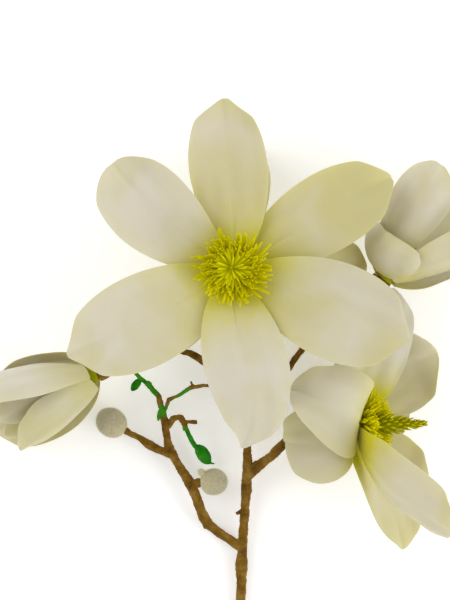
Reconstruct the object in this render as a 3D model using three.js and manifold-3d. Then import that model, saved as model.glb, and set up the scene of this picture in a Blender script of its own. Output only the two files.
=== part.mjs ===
// Magnolia branch: a cut sprig laid flat, with one open bloom facing up, three blooms
// on side twigs, two furry buds, a green shoot and a leaf bud. Millimetres, +Z up, z = 0
// is the surface it lies on. X and Y are measured from the open bloom's axis, and the
// whole group is moved at the end so that its origin is the middle of its footprint.
import * as THREE from 'three';
import { mergeVertices } from 'three/addons/utils/BufferGeometryUtils.js';
import Module from 'manifold-3d';

const wasm = await Module();
wasm.setup();

// ---- driving dimensions ----
const bladeThickness = 0.9;
const receptacle = { radius: 4.7, taper: 0.1 };
const petalSeat = 0.85;
const neckRadius = 2.6;
const collar = { inner: 3.1, outer: 4.4, height: 4.4 };
const seatGap = 0.3;
const goldenAngle = 137.508;
const stamen = { radius: 0.62, curl: 14, sunk: 0.5 };
const carpel = { radius: 0.75, length: 4.4, shortest: 3.3, rise: [22, 36], curl: 28, sunk: 0.7, zone: 9 };
const pistilScale = { rise: 2.3, relief: 0.45 };
const pedicelSeat = { radius: 4.9, length: 9, from: 0.55, to: 0.92 };

// ---- materials ----
function paint(hex, roughness) {
  return new THREE.MeshStandardMaterial({ color: hex, roughness, metalness: 0, side: THREE.DoubleSide });
}
const bark = paint('#6a5020', 0.85);
const petalWhite = paint('#dcd6b4', 0.6);
const stamenYellow = paint('#a8a414', 0.7);
const pistilGreen = paint('#83850a', 0.7);
const silverFur = paint('#bdb695', 0.95);
const shootGreen = paint('#2f8216', 0.6);

// ---- small helpers ----
const radians = THREE.MathUtils.degToRad;

function seeded(seed) {
  let state = seed;
  return () => {
    state = (state * 1664525 + 1013904223) % 4294967296;
    return state / 4294967296;
  };
}

function smooth(from, to, value) {
  return THREE.MathUtils.smoothstep(value, from, to);
}

function bump(at, width, value) {
  return Math.exp(-(((value - at) / width) ** 2));
}

function range(count) {
  return Array.from({ length: count }, (_, i) => i);
}

function indexed(positions, triangles) {
  const geometry = new THREE.BufferGeometry();
  geometry.setAttribute('position', new THREE.Float32BufferAttribute(positions, 3));
  geometry.setIndex(triangles);
  return geometry;
}

function welded(geometry) {
  geometry.deleteAttribute('normal');
  geometry.deleteAttribute('uv');
  return mergeVertices(geometry, 1e-4);
}

function toSolid(geometry) {
  return new wasm.Manifold(new wasm.Mesh({
    numProp: 3,
    vertProperties: new Float32Array(geometry.attributes.position.array),
    triVerts: new Uint32Array(geometry.index.array),
  }));
}

function fuse(geometries) {
  const whole = geometries.map(toSolid).reduce((sum, piece) => sum.add(piece));
  const mesh = whole.getMesh();
  return indexed(Array.from(mesh.vertProperties), Array.from(mesh.triVerts));
}

// ---- a round rod bent along a curve, with a radius that changes along it ----
function bentRod(points, radiusAt, steps, sides) {
  const curve = new THREE.CatmullRomCurve3(points.map((p) => new THREE.Vector3(...p)), false, 'centripetal');
  const frames = curve.computeFrenetFrames(steps, false);
  const rod = welded(new THREE.CylinderGeometry(1, 1, 1, sides, steps));
  const position = rod.attributes.position;
  for (let i = 0; i < position.count; i += 1) {
    const along = position.getY(i) + 0.5;
    const step = Math.round(along * steps);
    const radius = radiusAt(along);
    const place = curve.getPointAt(along)
      .addScaledVector(frames.binormals[step], position.getX(i) * radius)
      .addScaledVector(frames.normals[step], position.getZ(i) * radius);
    position.setXYZ(i, place.x, place.y, place.z);
  }
  return rod;
}

// ---- petals ----
function receptacleRadius(height) {
  return receptacle.radius - receptacle.taper * height;
}

// A petal is a thin blade round a midrib. Its bloom's axis is local +Z, azimuth is the
// direction it points in, and rise is its slope over the flat of the bloom at the root,
// the middle and the tip. Each row of the blade is an arc across the midrib, cup is how
// closely that arc curls, and wave is the ripple of the blade's edges.
const petalShape = {
  rise: [10, 5, 0],
  turn: [0, 0, 0],
  roll: 0,
  twist: 0,
  cup: [0.5, 0.3],
  pinch: 0.35,
  wave: 0.5,
  waves: 1.6,
  slant: 1.3,
  neck: 0.05,
  shoulder: 0.75,
  point: 0.55,
  sharp: 0.3,
  level: 1,
};
const petalRows = 8;
const petalColumns = 6;
const midribSteps = 6;
const tipReach = 0.997;
const rowSpread = 0.35;
const flatEnough = 1e-4;

function petalHalfWidth(petal, s) {
  const widest = (petal.shoulder - petal.point * petal.neck) / (petal.shoulder + petal.point);
  const outline = (at) => (at + petal.neck) ** petal.shoulder * (1 - at) ** petal.point;
  return petal.width / 2 * outline(s) / outline(widest) * (1 - petal.sharp * smooth(0.85, 1, s));
}

function along([root, middle, tip], s) {
  return (1 - s) ** 2 * root + 2 * s * (1 - s) * middle + s ** 2 * tip;
}

function petalRow(petal, s) {
  const rise = radians(along(petal.rise, s));
  const turn = radians(petal.azimuth + along(petal.turn, s));
  const outward = new THREE.Vector3(Math.cos(turn), Math.sin(turn), 0);
  const forward = outward.clone().multiplyScalar(Math.cos(rise));
  forward.z = Math.sin(rise);
  const across = new THREE.Vector3(-Math.sin(turn), Math.cos(turn), 0);
  const inner = forward.clone().cross(across);
  const roll = radians(petal.roll + petal.twist * s);
  return {
    forward,
    across: across.clone().multiplyScalar(Math.cos(roll)).addScaledVector(inner, Math.sin(roll)),
    inner: inner.clone().multiplyScalar(Math.cos(roll)).addScaledVector(across, -Math.sin(roll)),
  };
}

function petalSurface(petal, rows, columns) {
  const heading = radians(petal.azimuth);
  const rootRadius = receptacleRadius(petal.level) + petalSeat;
  const midrib = new THREE.Vector3(
    rootRadius * Math.cos(heading),
    rootRadius * Math.sin(heading),
    petal.level,
  );
  const points = [];
  let reached = 0;
  for (let i = 0; i <= rows; i += 1) {
    const u = i / rows;
    const s = tipReach * u * (1 + rowSpread * (1 - u));
    for (let k = 0; k < midribSteps; k += 1) {
      const stride = (s - reached) / midribSteps;
      midrib.addScaledVector(petalRow(petal, reached + (k + 0.5) * stride).forward, petal.length * stride);
    }
    reached = s;
    const row = petalRow(petal, s);
    const half = petalHalfWidth(petal, s);
    const curvature = THREE.MathUtils.lerp(petal.cup[0], petal.cup[1], s) / (petal.width / 2);
    for (let j = 0; j <= columns; j += 1) {
      const t = 2 * j / columns - 1;
      const arc = half * t;
      const bent = curvature * arc;
      const sideways = Math.abs(bent) < flatEnough ? arc : Math.sin(bent) / curvature;
      const raised = Math.abs(bent) < flatEnough ? 0 : (1 - Math.cos(bent)) / curvature;
      const edge = t * t * smooth(0.1, 0.5, s);
      const ripple = petal.wave * edge * Math.sin(Math.PI * 2 * petal.waves * s + petal.slant * t);
      const folded = petal.pinch * Math.abs(arc) * smooth(0.72, 1, s);
      points.push(midrib.clone()
        .addScaledVector(row.across, sideways)
        .addScaledVector(row.inner, raised + ripple + folded));
    }
  }
  return points;
}

function petalGeometry(petal) {
  const rows = petalRows;
  const columns = petalColumns;
  const points = petalSurface(petal, rows, columns);
  const at = (i, j) => i * (columns + 1) + j;
  const face = [];
  for (let i = 0; i < rows; i += 1) {
    for (let j = 0; j < columns; j += 1) {
      face.push(at(i, j), at(i + 1, j), at(i + 1, j + 1), at(i, j), at(i + 1, j + 1), at(i, j + 1));
    }
  }
  const sheet = indexed(points.flatMap((p) => p.toArray()), face);
  sheet.computeVertexNormals();
  const normals = sheet.attributes.normal;
  const offset = (side) => points.flatMap((p, i) => [
    p.x + side * normals.getX(i) * bladeThickness / 2,
    p.y + side * normals.getY(i) * bladeThickness / 2,
    p.z + side * normals.getZ(i) * bladeThickness / 2,
  ]);
  const count = points.length;
  const triangles = [...face];
  for (let k = 0; k < face.length; k += 3) {
    triangles.push(face[k] + count, face[k + 2] + count, face[k + 1] + count);
  }
  const border = [
    ...range(rows).map((i) => at(i, 0)),
    ...range(columns).map((j) => at(rows, j)),
    ...range(rows).map((i) => at(rows - i, columns)),
    ...range(columns).map((j) => at(0, columns - j)),
  ];
  border.forEach((here, k) => {
    const next = border[(k + 1) % border.length];
    triangles.push(next, here, here + count, next, here + count, next + count);
  });
  return indexed([...offset(1), ...offset(-1)], triangles);
}

// ---- the middle of a bloom ----
function needle(foot, heading, rise, length, radius, curl) {
  const outward = new THREE.Vector3(Math.cos(heading), Math.sin(heading), 0);
  const across = new THREE.Vector3(-Math.sin(heading), Math.cos(heading), 0);
  const place = (s) => {
    const slope = radians(rise + curl * s);
    return outward.clone().multiplyScalar(foot.radius + length * s * Math.cos(slope))
      .setZ(foot.height + length * s * Math.sin(slope));
  };
  const ring = (s, size) => [0, 1, 2].map((corner) => {
    const angle = Math.PI * (2 * corner / 3 + 0.5);
    const lift = across.clone().cross(outward).multiplyScalar(-size * Math.sin(angle));
    return place(s).addScaledVector(across, size * Math.cos(angle)).add(lift);
  });
  const corners = [...ring(0, radius), ...ring(0.6, radius * 0.85), place(1)];
  const triangles = [0, 2, 1, 3, 4, 6, 4, 5, 6, 5, 3, 6];
  for (let k = 0; k < 3; k += 1) {
    const next = (k + 1) % 3;
    triangles.push(k, next, next + 3, k, next + 3, k + 3);
  }
  return indexed(corners.flatMap((p) => p.toArray()), triangles);
}

function stamenGeometry(bloom) {
  const draw = seeded(bloom.seed);
  const { inner, outer } = collar;
  const bottom = bloom.receptacle + seatGap;
  const top = bottom + collar.height;
  const ring = welded(new THREE.LatheGeometry([
    new THREE.Vector2(inner, bottom),
    new THREE.Vector2(outer, bottom),
    new THREE.Vector2(outer, top - 1.4),
    new THREE.Vector2(inner + 0.5, top),
    new THREE.Vector2(inner, top),
    new THREE.Vector2(inner, bottom),
  ], 12)).rotateX(Math.PI / 2);
  const needles = [];
  for (let k = 0; k < bloom.stamens; k += 1) {
    const s = (k + 0.5) / bloom.stamens;
    const foot = {
      radius: THREE.MathUtils.lerp(outer, inner + 0.9, s) - stamen.sunk,
      height: THREE.MathUtils.lerp(bottom + 0.9, top - 1.1, s),
    };
    const heading = radians(k * goldenAngle + 8 * (draw() - 0.5));
    const rise = THREE.MathUtils.lerp(bloom.stamenRise[0], bloom.stamenRise[1], s) + 6 * (draw() - 0.5);
    const length = THREE.MathUtils.lerp(bloom.stamenLength[0], bloom.stamenLength[1], s);
    needles.push(needle(foot, heading, rise, length * (0.9 + 0.2 * draw()), stamen.radius, stamen.curl));
  }
  return fuse([ring, ...needles]);
}

// The pistil stands on the receptacle, passes through the stamens' collar, and carries
// rows of pointed carpels below a blunt, scaly tip.
function carpelsFrom(bloom) {
  return bloom.receptacle + collar.height + 2 * seatGap;
}

function pistilRadius(z, bloom) {
  if (z <= bloom.receptacle) return receptacleRadius(z);
  if (z < carpelsFrom(bloom)) return neckRadius;
  const s = (z - carpelsFrom(bloom)) / (bloom.pistil - carpelsFrom(bloom));
  return 0.35 + 2.9 * (1 - s) ** 0.75 * (1 + 0.25 * bump(0.25, 0.25, s));
}

function pistilGeometry(bloom) {
  const sides = 10;
  const carpelsBottom = carpelsFrom(bloom);
  const heights = [seatGap, bloom.receptacle, bloom.receptacle + 0.1, carpelsBottom - 0.1];
  const scaleRows = Math.round((bloom.pistil - carpelsBottom) / pistilScale.rise);
  for (let i = 0; i <= scaleRows; i += 1) {
    heights.push(THREE.MathUtils.lerp(carpelsBottom, bloom.pistil, i / scaleRows));
  }
  const profile = heights.map((z) => new THREE.Vector2(pistilRadius(z, bloom), z));
  const body = welded(new THREE.LatheGeometry(
    [new THREE.Vector2(0, seatGap), ...profile, new THREE.Vector2(0, bloom.pistil)],
    sides,
  ));
  const position = body.attributes.position;
  for (let i = 0; i < position.count; i += 1) {
    const z = position.getY(i);
    const radius = Math.hypot(position.getX(i), position.getZ(i));
    const angle = Math.atan2(position.getZ(i), position.getX(i));
    const column = Math.round(angle / (Math.PI * 2) * sides);
    const row = heights.findIndex((height) => Math.abs(height - z) < 0.02);
    const scaly = z > carpelsBottom + 0.5 && radius > 0.4 && (row + column) % 2 === 0;
    const size = radius + (scaly ? pistilScale.relief : 0);
    position.setXYZ(i, size * Math.cos(angle), size * -Math.sin(angle), z);
  }
  const draw = seeded(bloom.seed + 50);
  const carpels = [];
  for (let k = 0; k < bloom.carpels; k += 1) {
    const s = (k + 0.5) / bloom.carpels;
    const height = carpelsBottom + 1 + carpel.zone * s;
    const foot = { radius: pistilRadius(height, bloom) - carpel.sunk, height };
    const heading = radians(k * goldenAngle + 10 * draw());
    const rise = THREE.MathUtils.lerp(carpel.rise[0], carpel.rise[1], s);
    const length = THREE.MathUtils.lerp(carpel.length, carpel.shortest, s);
    carpels.push(needle(foot, heading, rise, length, carpel.radius, carpel.curl));
  }
  return fuse([body, ...carpels]);
}

// ---- blooms ----
// Each bloom stands at base, facing along axis. In the open bloom azimuth 0 is +X. In
// the blooms that lie sideways azimuth 90 faces up, away from the surface.
const openBloom = {
  name: 'open_bloom',
  base: [0, 0],
  axis: [-0.05, 0.02, 1],
  up: [0, 1, 0],
  seed: 11,
  receptacle: 10.9,
  pistil: 36,
  stamens: 58,
  stamenLength: [14, 10.5],
  stamenRise: [16, 56],
  carpels: 14,
  petals: {
    back_right: { azimuth: 0, length: 62, width: 34, rise: [-4, -28, -40], level: 3.4, cup: [-0.2, 0.2] },
    back_upper: { azimuth: 93, length: 75, width: 36, rise: [-8, -48, -60], level: 2.1, cup: [-0.2, 0.2] },
    back_lower: { azimuth: 213, length: 62, width: 36, rise: [-4, -28, -40], level: 0.8, cup: [-0.2, 0.2] },
    right_upper: {
      azimuth: 31, turn: [2, 1, -6], length: 78, width: 36, rise: [6, 12, -6], level: 4.8, cup: [0.1, 0.2],
      point: 0.5, sharp: 0.35,
    },
    top: {
      azimuth: 97, turn: [-14, 10, -9], length: 73.5, width: 36, rise: [10, 14, -4], level: 6.1,
      cup: [0.2, 0.3], roll: -6, point: 0.5, sharp: 0.5,
    },
    left_upper: {
      azimuth: 144, turn: [8, -8, -16], length: 70, width: 39, rise: [14, 26, 6], level: 7.4, cup: [0.3, 0.5],
      roll: -6, shoulder: 0.85, point: 0.42, sharp: 0.15,
    },
    left_lower: {
      azimuth: 207, turn: [8, -4, -2], length: 80.5, width: 43, rise: [12, 10, 2], level: 8.7,
      cup: [0.3, 0.4], roll: -6, point: 0.58, sharp: 0.5,
    },
    right_lower: {
      azimuth: 338, length: 81.5, width: 45, rise: [12, 10, 2], level: 8.7, cup: [0.3, 0.4], roll: 6,
      shoulder: 0.85, sharp: 0.5,
    },
    bottom: {
      azimuth: 272, turn: [-10, 46, -34], length: 79, width: 38, rise: [14, 16, -14], level: 10.1,
      cup: [0.3, -0.3], point: 0.68, sharp: 0.55,
    },
  },
};

const rightBloom = {
  name: 'right_bloom',
  base: [49.5, -72],
  axis: [0.905, 0.05, 0.4226],
  up: [0, 0, 1],
  seed: 23,
  receptacle: 10.4,
  pistil: 42,
  stamens: 44,
  stamenLength: [11.5, 9],
  stamenRise: [22, 56],
  carpels: 26,
  petals: {
    under: { azimuth: 226, length: 48, width: 34, rise: [14, 40, 60], level: 1.8, cup: [0.6, 0.9] },
    low: { azimuth: 275, length: 40, width: 28, rise: [0, 30, 64], level: 0.6, cup: [0.5, 0.7] },
    far_low: {
      azimuth: 320, length: 54, width: 44, rise: [14, 50, 76], level: 2.9, cup: [0.5, 0.9],
      roll: -30, point: 0.45,
    },
    far_side: {
      azimuth: 0, length: 63, width: 38, rise: [24, 24, 24], level: 3.8, cup: [0.4, 0.4],
      roll: -40, shoulder: 0.6,
    },
    near_side: {
      azimuth: 184, length: 58, width: 28, rise: [36, 22, 6], level: 5.0, cup: [0.4, 0.5],
      roll: 30,
    },
    folded_low: { azimuth: 104, length: 41, width: 38, rise: [38, -80, -110], level: 5.2, cup: [0.2, 0.4] },
    folded_top: {
      azimuth: 69, turn: [30, -30, -60], length: 52, width: 40, rise: [56, -60, -80], level: 8.3,
      cup: [0.2, 0.4], roll: -10, twist: -20, shoulder: 0.6, point: 0.6,
    },
    long_near: {
      azimuth: 134, length: 85, width: 35, rise: [22, 62, 50], level: 9.2, cup: [0.5, 0.7],
      roll: -20,
    },
  },
};

const leftBloom = {
  name: 'left_bloom',
  base: [-63.5, -46.5],
  axis: [-0.92, -0.39, 0],
  up: [0, 0, 1],
  seed: 37,
  receptacle: 6.4,
  pistil: 26,
  stamens: 12,
  stamenLength: [7, 6],
  stamenRise: [50, 70],
  carpels: 4,
  petals: {
    under: { azimuth: 282, length: 70, width: 38, rise: [20, 70, 92], level: 0.6, cup: [0.8, 0.9] },
    upper_back: {
      azimuth: 212, length: 46, width: 23, rise: [46, 84, 96], level: 1.8, cup: [0.8, 0.9],
      roll: 18,
    },
    lower_side: {
      azimuth: 22, length: 46, width: 32, rise: [54, 80, 76], level: 3.0, cup: [0.8, 0.9],
      roll: 12, neck: 0.15,
    },
    top: {
      azimuth: 134, length: 66, width: 34, rise: [50, 80, 88], level: 4.2, cup: [0.7, 0.8],
      roll: 20, neck: 0.15,
    },
    low_side: {
      azimuth: 314, length: 50, width: 26, rise: [56, 86, 92], level: 3.6, cup: [0.8, 0.9],
      roll: 8,
    },
    inner: {
      azimuth: 80, length: 46, width: 20, rise: [72, 90, 92], level: 5.3, cup: [0.8, 0.9],
      roll: -6,
    },
  },
};

const upperBloom = {
  name: 'upper_bloom',
  base: [68, -4],
  axis: [0.64, 0.77, 0],
  up: [0, 0, 1],
  seed: 41,
  receptacle: 6.4,
  pistil: 26,
  stamens: 12,
  stamenLength: [7, 6],
  stamenRise: [50, 70],
  carpels: 4,
  petals: {
    under: { azimuth: 272, length: 72, width: 38, rise: [20, 82, 92], level: 0.6, cup: [0.7, 0.8] },
    short_outer: {
      azimuth: 56, length: 26, width: 42, rise: [0, 50, 66], level: 1.6, cup: [1.0, 1.2],
      neck: 0.35, point: 0.35,
    },
    right_side: { azimuth: 144, length: 62, width: 32, rise: [46, 64, 76], level: 2.8, cup: [0.7, 0.8] },
    left_side: {
      azimuth: 336, length: 40, width: 30, rise: [40, 70, 78], level: 3.8, cup: [0.8, 0.9],
      roll: 18,
    },
    top: {
      azimuth: 56, length: 56, width: 31, rise: [44, 80, 80], level: 5.0, cup: [0.7, 0.8],
      roll: 14, shoulder: 0.95, point: 0.42,
    },
    low_side: {
      azimuth: 212, length: 56, width: 32, rise: [30, 76, 84], level: 1.8, cup: [0.8, 0.9],
      roll: 14,
    },
  },
};

const group = new THREE.Group();

function addMesh(parent, name, geometry, material) {
  const mesh = new THREE.Mesh(geometry, material);
  mesh.name = name;
  parent.add(mesh);
  return mesh;
}

function lowestPoint(object) {
  object.updateMatrixWorld(true);
  return new THREE.Box3().setFromObject(object, true).min.z;
}

function addBloom(bloom) {
  const head = new THREE.Group();
  const facing = new THREE.Vector3(...bloom.axis).normalize();
  const up = new THREE.Vector3(...bloom.up);
  up.addScaledVector(facing, -up.dot(facing)).normalize();
  head.quaternion.setFromRotationMatrix(new THREE.Matrix4().makeBasis(up.clone().cross(facing), up, facing));
  addMesh(head, `${bloom.name}_pistil`, pistilGeometry(bloom), pistilGreen);
  addMesh(head, `${bloom.name}_stamens`, stamenGeometry(bloom), stamenYellow);
  for (const [place, petal] of Object.entries(bloom.petals)) {
    addMesh(head, `${bloom.name}_petal_${place}`, petalGeometry({ ...petalShape, ...petal }), petalWhite);
  }
  head.position.set(bloom.base[0], bloom.base[1], -lowestPoint(head));
  group.add(head);
  return { seat: head.position.clone(), facing };
}

const blooms = [openBloom, rightBloom, leftBloom, upperBloom];
const [openHead, rightHead, leftHead, upperHead] = blooms.map(addBloom);

// ---- the woody branch ----
// Each stem runs through points [x, y, z]. radius is [at the start, at the end], and
// knots are the places along it, from 0 to 1, where a leaf scar thickens it.
const stepLength = 6.5;
const knot = { swelling: 0.28, length: 3 };

function stemSolid({ points, radius, knots = [], sides = 6 }) {
  const curve = new THREE.CatmullRomCurve3(points.map((p) => new THREE.Vector3(...p)), false, 'centripetal');
  const length = curve.getLength();
  const steps = Math.max(3, Math.round(length / stepLength));
  const thickness = (s) => {
    const plain = THREE.MathUtils.lerp(radius[0], radius[1], s);
    return knots.reduce(
      (size, at) => size + knot.swelling * plain * bump(at, knot.length / length, s),
      plain,
    );
  };
  return bentRod(points, thickness, steps, sides);
}

// The last stretch of a stem swells into the flat seat that a bloom stands on.
function pedicel({ seat, facing }, from, radius) {
  const before = seat.clone().addScaledVector(facing, -pedicelSeat.length);
  const points = [from, before.toArray(), seat.toArray()];
  const thickness = (s) => THREE.MathUtils.lerp(
    radius,
    pedicelSeat.radius,
    smooth(pedicelSeat.from, pedicelSeat.to, s),
  );
  return bentRod(points, thickness, 9, 10);
}

const stems = [
  { points: [[0, -205, 2.8], [1, -180, 3.4], [3, -155, 3.8], [3.6, -133, 4.6], [5.4, -106, 8],
    [5.9, -80, 13], [4.9, -60, 15], [4, -48, 17], [3, -30, 20]],
  radius: [2.7, 1.8], knots: [0.16, 0.37, 0.58, 0.8], sides: 8 },
  { points: [[6.3, -74, 14], [15, -61, 13.5], [23.6, -48.7, 12.5], [30.6, -38.3, 12], [42, -26, 12],
    [50, -19.5, 13]], radius: [1.7, 1.6], knots: [0.35, 0.7] },
  { points: [[4.4, -56, 16], [-5, -48.5, 15.5], [-14.8, -42.1, 14.5], [-23.2, -37.8, 14], [-35, -36.5, 14],
    [-45, -39.5, 16]], radius: [1.9, 1.8], knots: [0.4, 0.8] },
  { points: [[6.4, -96.7, 10], [12.9, -89.9, 12], [19, -86, 14], [23.2, -79.7, 17], [26.9, -77.1, 19],
    [32, -76, 18]], radius: [2.2, 1.8], knots: [0.3, 0.55] },
  { points: [[3.4, -131.5, 4.4], [-3.6, -126.2, 5], [-8.6, -123, 5.4], [-12.6, -119.6, 6.2], [-15.6, -114, 7],
    [-18.2, -106.8, 8], [-20.3, -102, 8], [-24.4, -94.8, 9], [-28.6, -88.2, 9], [-31.5, -83, 9],
    [-32.4, -74.9, 10], [-33.8, -66.9, 10], [-35.7, -59.8, 10], [-37.6, -56, 10], [-40.4, -53.7, 10]],
  radius: [2.4, 1.4], knots: [0.2, 0.37, 0.52, 0.6, 0.8], sides: 7 },
  { points: [[-29.6, -86.8, 9], [-38.6, -83, 9], [-45.6, -78.3, 9], [-51.1, -75.7, 9]], radius: [1.9, 1.6],
    knots: [0.5] },
  { points: [[-20.6, -101.5, 8.5], [-18.8, -100.4, 9.4], [-17.1, -99.8, 10]], radius: [1.7, 1.5] },
  { points: [[-31.2, -73.6, 10], [-28.5, -68.6, 11.5], [-26, -67.6, 12.6], [-24.6, -70, 13],
    [-23.2, -73.2, 13]], radius: [1.6, 1.2] },
  { points: [[-24.4, -70.5, 13], [-20.5, -71, 13], [-17.6, -71, 13]], radius: [0.7, 1.2] },
  { points: [[-32.9, -66, 11], [-31.6, -61, 13], [-27, -58.6, 14.4], [-22.4, -56.3, 15], [-18.6, -53.4, 16],
    [-12.9, -53.9, 17], [-8.7, -53.8, 18]], radius: [1, 0.9], knots: [0.3, 0.62] },
  { points: [[-19.5, -54, 15.8], [-20.6, -51.6, 16.4]], radius: [0.8, 0.6] },
  { points: [[4.6, -113, 6.6], [2.8, -113.6, 7], [1, -114.7, 7.2]], radius: [1.1, 0.8] },
  { points: [[-34.2, -64.6, 10.4], [-35.9, -66.6, 10.8], [-36.1, -70.8, 11]], radius: [0.9, 0.6] },
  { points: [[5.4, -62, 15], [1.4, -65.6, 15.6], [-2.6, -67, 16], [-7, -65.4, 16.6]], radius: [0.9, 0.9] },
  { points: [[5.8, -70, 14], [3.4, -71.4, 14.4], [0.4, -70.6, 15], [-3.8, -69.2, 15.4]], radius: [0.9, 0.8] },
  { points: [[24, -79, 17.2], [23.6, -76, 19], [25.6, -73.6, 20]], radius: [1, 0.7] },
];
const woody = [
  ...stems.map(stemSolid),
  pedicel(openHead, [3, -30, 20], 1.8),
  pedicel(upperHead, [50, -19.5, 13], 1.6),
  pedicel(leftHead, [-45, -39.5, 16], 1.8),
  pedicel(rightHead, [32, -76, 18], 1.8),
];
addMesh(group, 'woody_branch', fuse(woody), bark);

// ---- buds and green growth ----
function budSolid({ centre, toward, length, width, sides = 12, rings = 9, tip = 1 }) {
  const profile = [];
  for (let i = 0; i <= rings; i += 1) {
    const angle = Math.PI * i / rings;
    profile.push(new THREE.Vector2(width / 2 * Math.sin(angle) ** tip, -length / 2 * Math.cos(angle)));
  }
  profile[0].x = 0;
  profile[rings].x = 0;
  const body = welded(new THREE.LatheGeometry(profile, sides));
  const turn = new THREE.Quaternion().setFromUnitVectors(
    new THREE.Vector3(0, 1, 0),
    new THREE.Vector3(...toward).normalize(),
  );
  return body.applyQuaternion(turn).translate(...centre);
}

addMesh(group, 'silver_bud_upper', budSolid({
  centre: [-57.9, -71.7, 9], toward: [-0.8, 0.6, 0.05], length: 15, width: 13.4,
}), silverFur);
addMesh(group, 'silver_bud_lower', fuse([
  budSolid({ centre: [-10.1, -99.4, 10.4], toward: [1, 0.05, 0.1], length: 12.8, width: 12.4 }),
  budSolid({
    centre: [-15.2, -95.2, 12], toward: [-0.7, 0.6, 0.2], length: 5, width: 3.6, sides: 8, rings: 6,
  }),
]), silverFur);
addMesh(group, 'leaf_bud', fuse([
  stemSolid({
    points: [[-23, -73.6, 13], [-21.6, -77, 12.6], [-20.1, -80, 12], [-18.2, -83, 11.4]],
    radius: [1.2, 1.4],
  }),
  budSolid({
    centre: [-14.8, -86.4, 10.8], toward: [0.55, -0.84, -0.1], length: 11.2, width: 6.6, tip: 1.2,
  }),
  stemSolid({
    points: [[-12.6, -89.6, 10.5], [-11, -90.6, 10.4], [-9.2, -90.8, 10.4]],
    radius: [0.9, 0.35],
    sides: 5,
  }),
]), shootGreen);
addMesh(group, 'green_shoot', fuse([
  stemSolid({
    points: [[-40.9, -53.3, 10], [-44.6, -50.3, 11], [-47.4, -47, 12], [-48.4, -45.4, 12.4]],
    radius: [1.2, 1],
  }),
  budSolid({
    centre: [-46.6, -53.6, 9.6], toward: [-0.6, -0.8, -0.1], length: 7.5, width: 4, tip: 1.2,
  }),
]), shootGreen);

group.updateMatrixWorld(true);
const bounds = new THREE.Box3().setFromObject(group, true);
group.position.set(-(bounds.min.x + bounds.max.x) / 2, -(bounds.min.y + bounds.max.y) / 2, -bounds.min.z);

export default group;
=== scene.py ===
import math
import random

import bpy
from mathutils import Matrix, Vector, noise


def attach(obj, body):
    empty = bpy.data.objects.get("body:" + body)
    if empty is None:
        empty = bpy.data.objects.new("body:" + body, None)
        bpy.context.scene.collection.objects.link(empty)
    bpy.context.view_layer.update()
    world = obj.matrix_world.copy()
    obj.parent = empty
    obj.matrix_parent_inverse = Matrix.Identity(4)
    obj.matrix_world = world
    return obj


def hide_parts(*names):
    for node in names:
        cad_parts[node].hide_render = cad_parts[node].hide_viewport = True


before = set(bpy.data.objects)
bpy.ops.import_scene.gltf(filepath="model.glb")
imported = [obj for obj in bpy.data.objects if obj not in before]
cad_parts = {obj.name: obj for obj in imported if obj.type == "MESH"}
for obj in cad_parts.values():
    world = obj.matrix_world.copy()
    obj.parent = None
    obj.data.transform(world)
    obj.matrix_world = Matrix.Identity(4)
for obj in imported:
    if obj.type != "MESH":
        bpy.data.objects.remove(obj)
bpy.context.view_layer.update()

# A magnolia branch laid flat: open bloom up, three blooms on side twigs, furry buds, young shoots.
mm = 0.001
goldenAngle = math.radians(137.508)


def linear(color):
    # a hex color, or a number for a gray
    if isinstance(color, float):
        return [color, color, color, 1.0]
    channels = [int(color[i:i + 2], 16) / 255 for i in (1, 3, 5)]
    return [c / 12.92 if c <= 0.04045 else ((c + 0.055) / 1.055) ** 2.4 for c in channels] + [1.0]


def smooth(low, high, value):
    share = min(1.0, max(0.0, (value - low) / (high - low)))
    return share * share * (3 - 2 * share)


def mix(first, second, share):
    return first + (second - first) * share


def bump(at, width, value):
    return math.exp(-(((value - at) / width) ** 2))


def drawn(draw, least, spread):
    return least + spread * draw.random()


def strayed(draw, spread, below):
    # an offset either way, of which the share "below" is negative
    return spread * (draw.random() - below)


def startMaterial(name):
    material = bpy.data.materials.new(name)
    material.use_nodes = True
    material.node_tree.nodes.clear()
    return material


def addNode(material, kind, settings=None, links=None):
    # settings are node properties, input values or color stops; links are input -> (node, output)
    node = material.node_tree.nodes.new(kind)
    for key, value in (settings or {}).items():
        if key == "stops":
            elements = node.color_ramp.elements
            elements.remove(elements[-1])
            elements[0].position = value[0][0]
            elements[0].color = linear(value[0][1])
            for position, color in value[1:]:
                elements.new(position).color = linear(color)
        elif isinstance(key, str) and hasattr(node, key):
            setattr(node, key, value)
        else:
            node.inputs[key].default_value = linear(value) if isinstance(value, str) else value
    for key, (source, output) in (links or {}).items():
        material.node_tree.links.new(source.outputs[output], node.inputs[key])
    return node


def deselectAll():
    if bpy.context.object and bpy.context.object.mode != "OBJECT":
        bpy.ops.object.mode_set(mode="OBJECT")
    bpy.ops.object.select_all(action="DESELECT")


def activate(piece):
    deselectAll()
    piece.select_set(True)
    bpy.context.view_layer.objects.active = piece


def joined(pieces, name):
    activate(pieces[0])
    for piece in pieces[1:]:
        piece.select_set(True)
    if len(pieces) > 1:
        bpy.ops.object.join()
    pieces[0].name = name
    pieces[0].data.name = name
    return pieces[0]


def applyModifier(piece, kind, settings):
    activate(piece)
    bpy.ops.object.modifier_add(type=kind)
    modifier = piece.modifiers[-1]
    for key, value in settings.items():
        setattr(modifier, key, value)
    bpy.ops.object.modifier_apply(modifier=modifier.name)


def finishPiece(piece, name, node, material, angle=60):
    piece.name = name
    piece.data.name = name
    piece.data.materials.clear()
    piece.data.materials.append(material)
    activate(piece)
    bpy.ops.object.shade_smooth_by_angle(angle=math.radians(angle))
    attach(piece, "root")
    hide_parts(node)


def floatAttribute(piece, name, values):
    attribute = piece.data.attributes.get(name) or piece.data.attributes.new(name, "FLOAT", "POINT")
    attribute.data.foreach_set("value", values)


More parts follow.
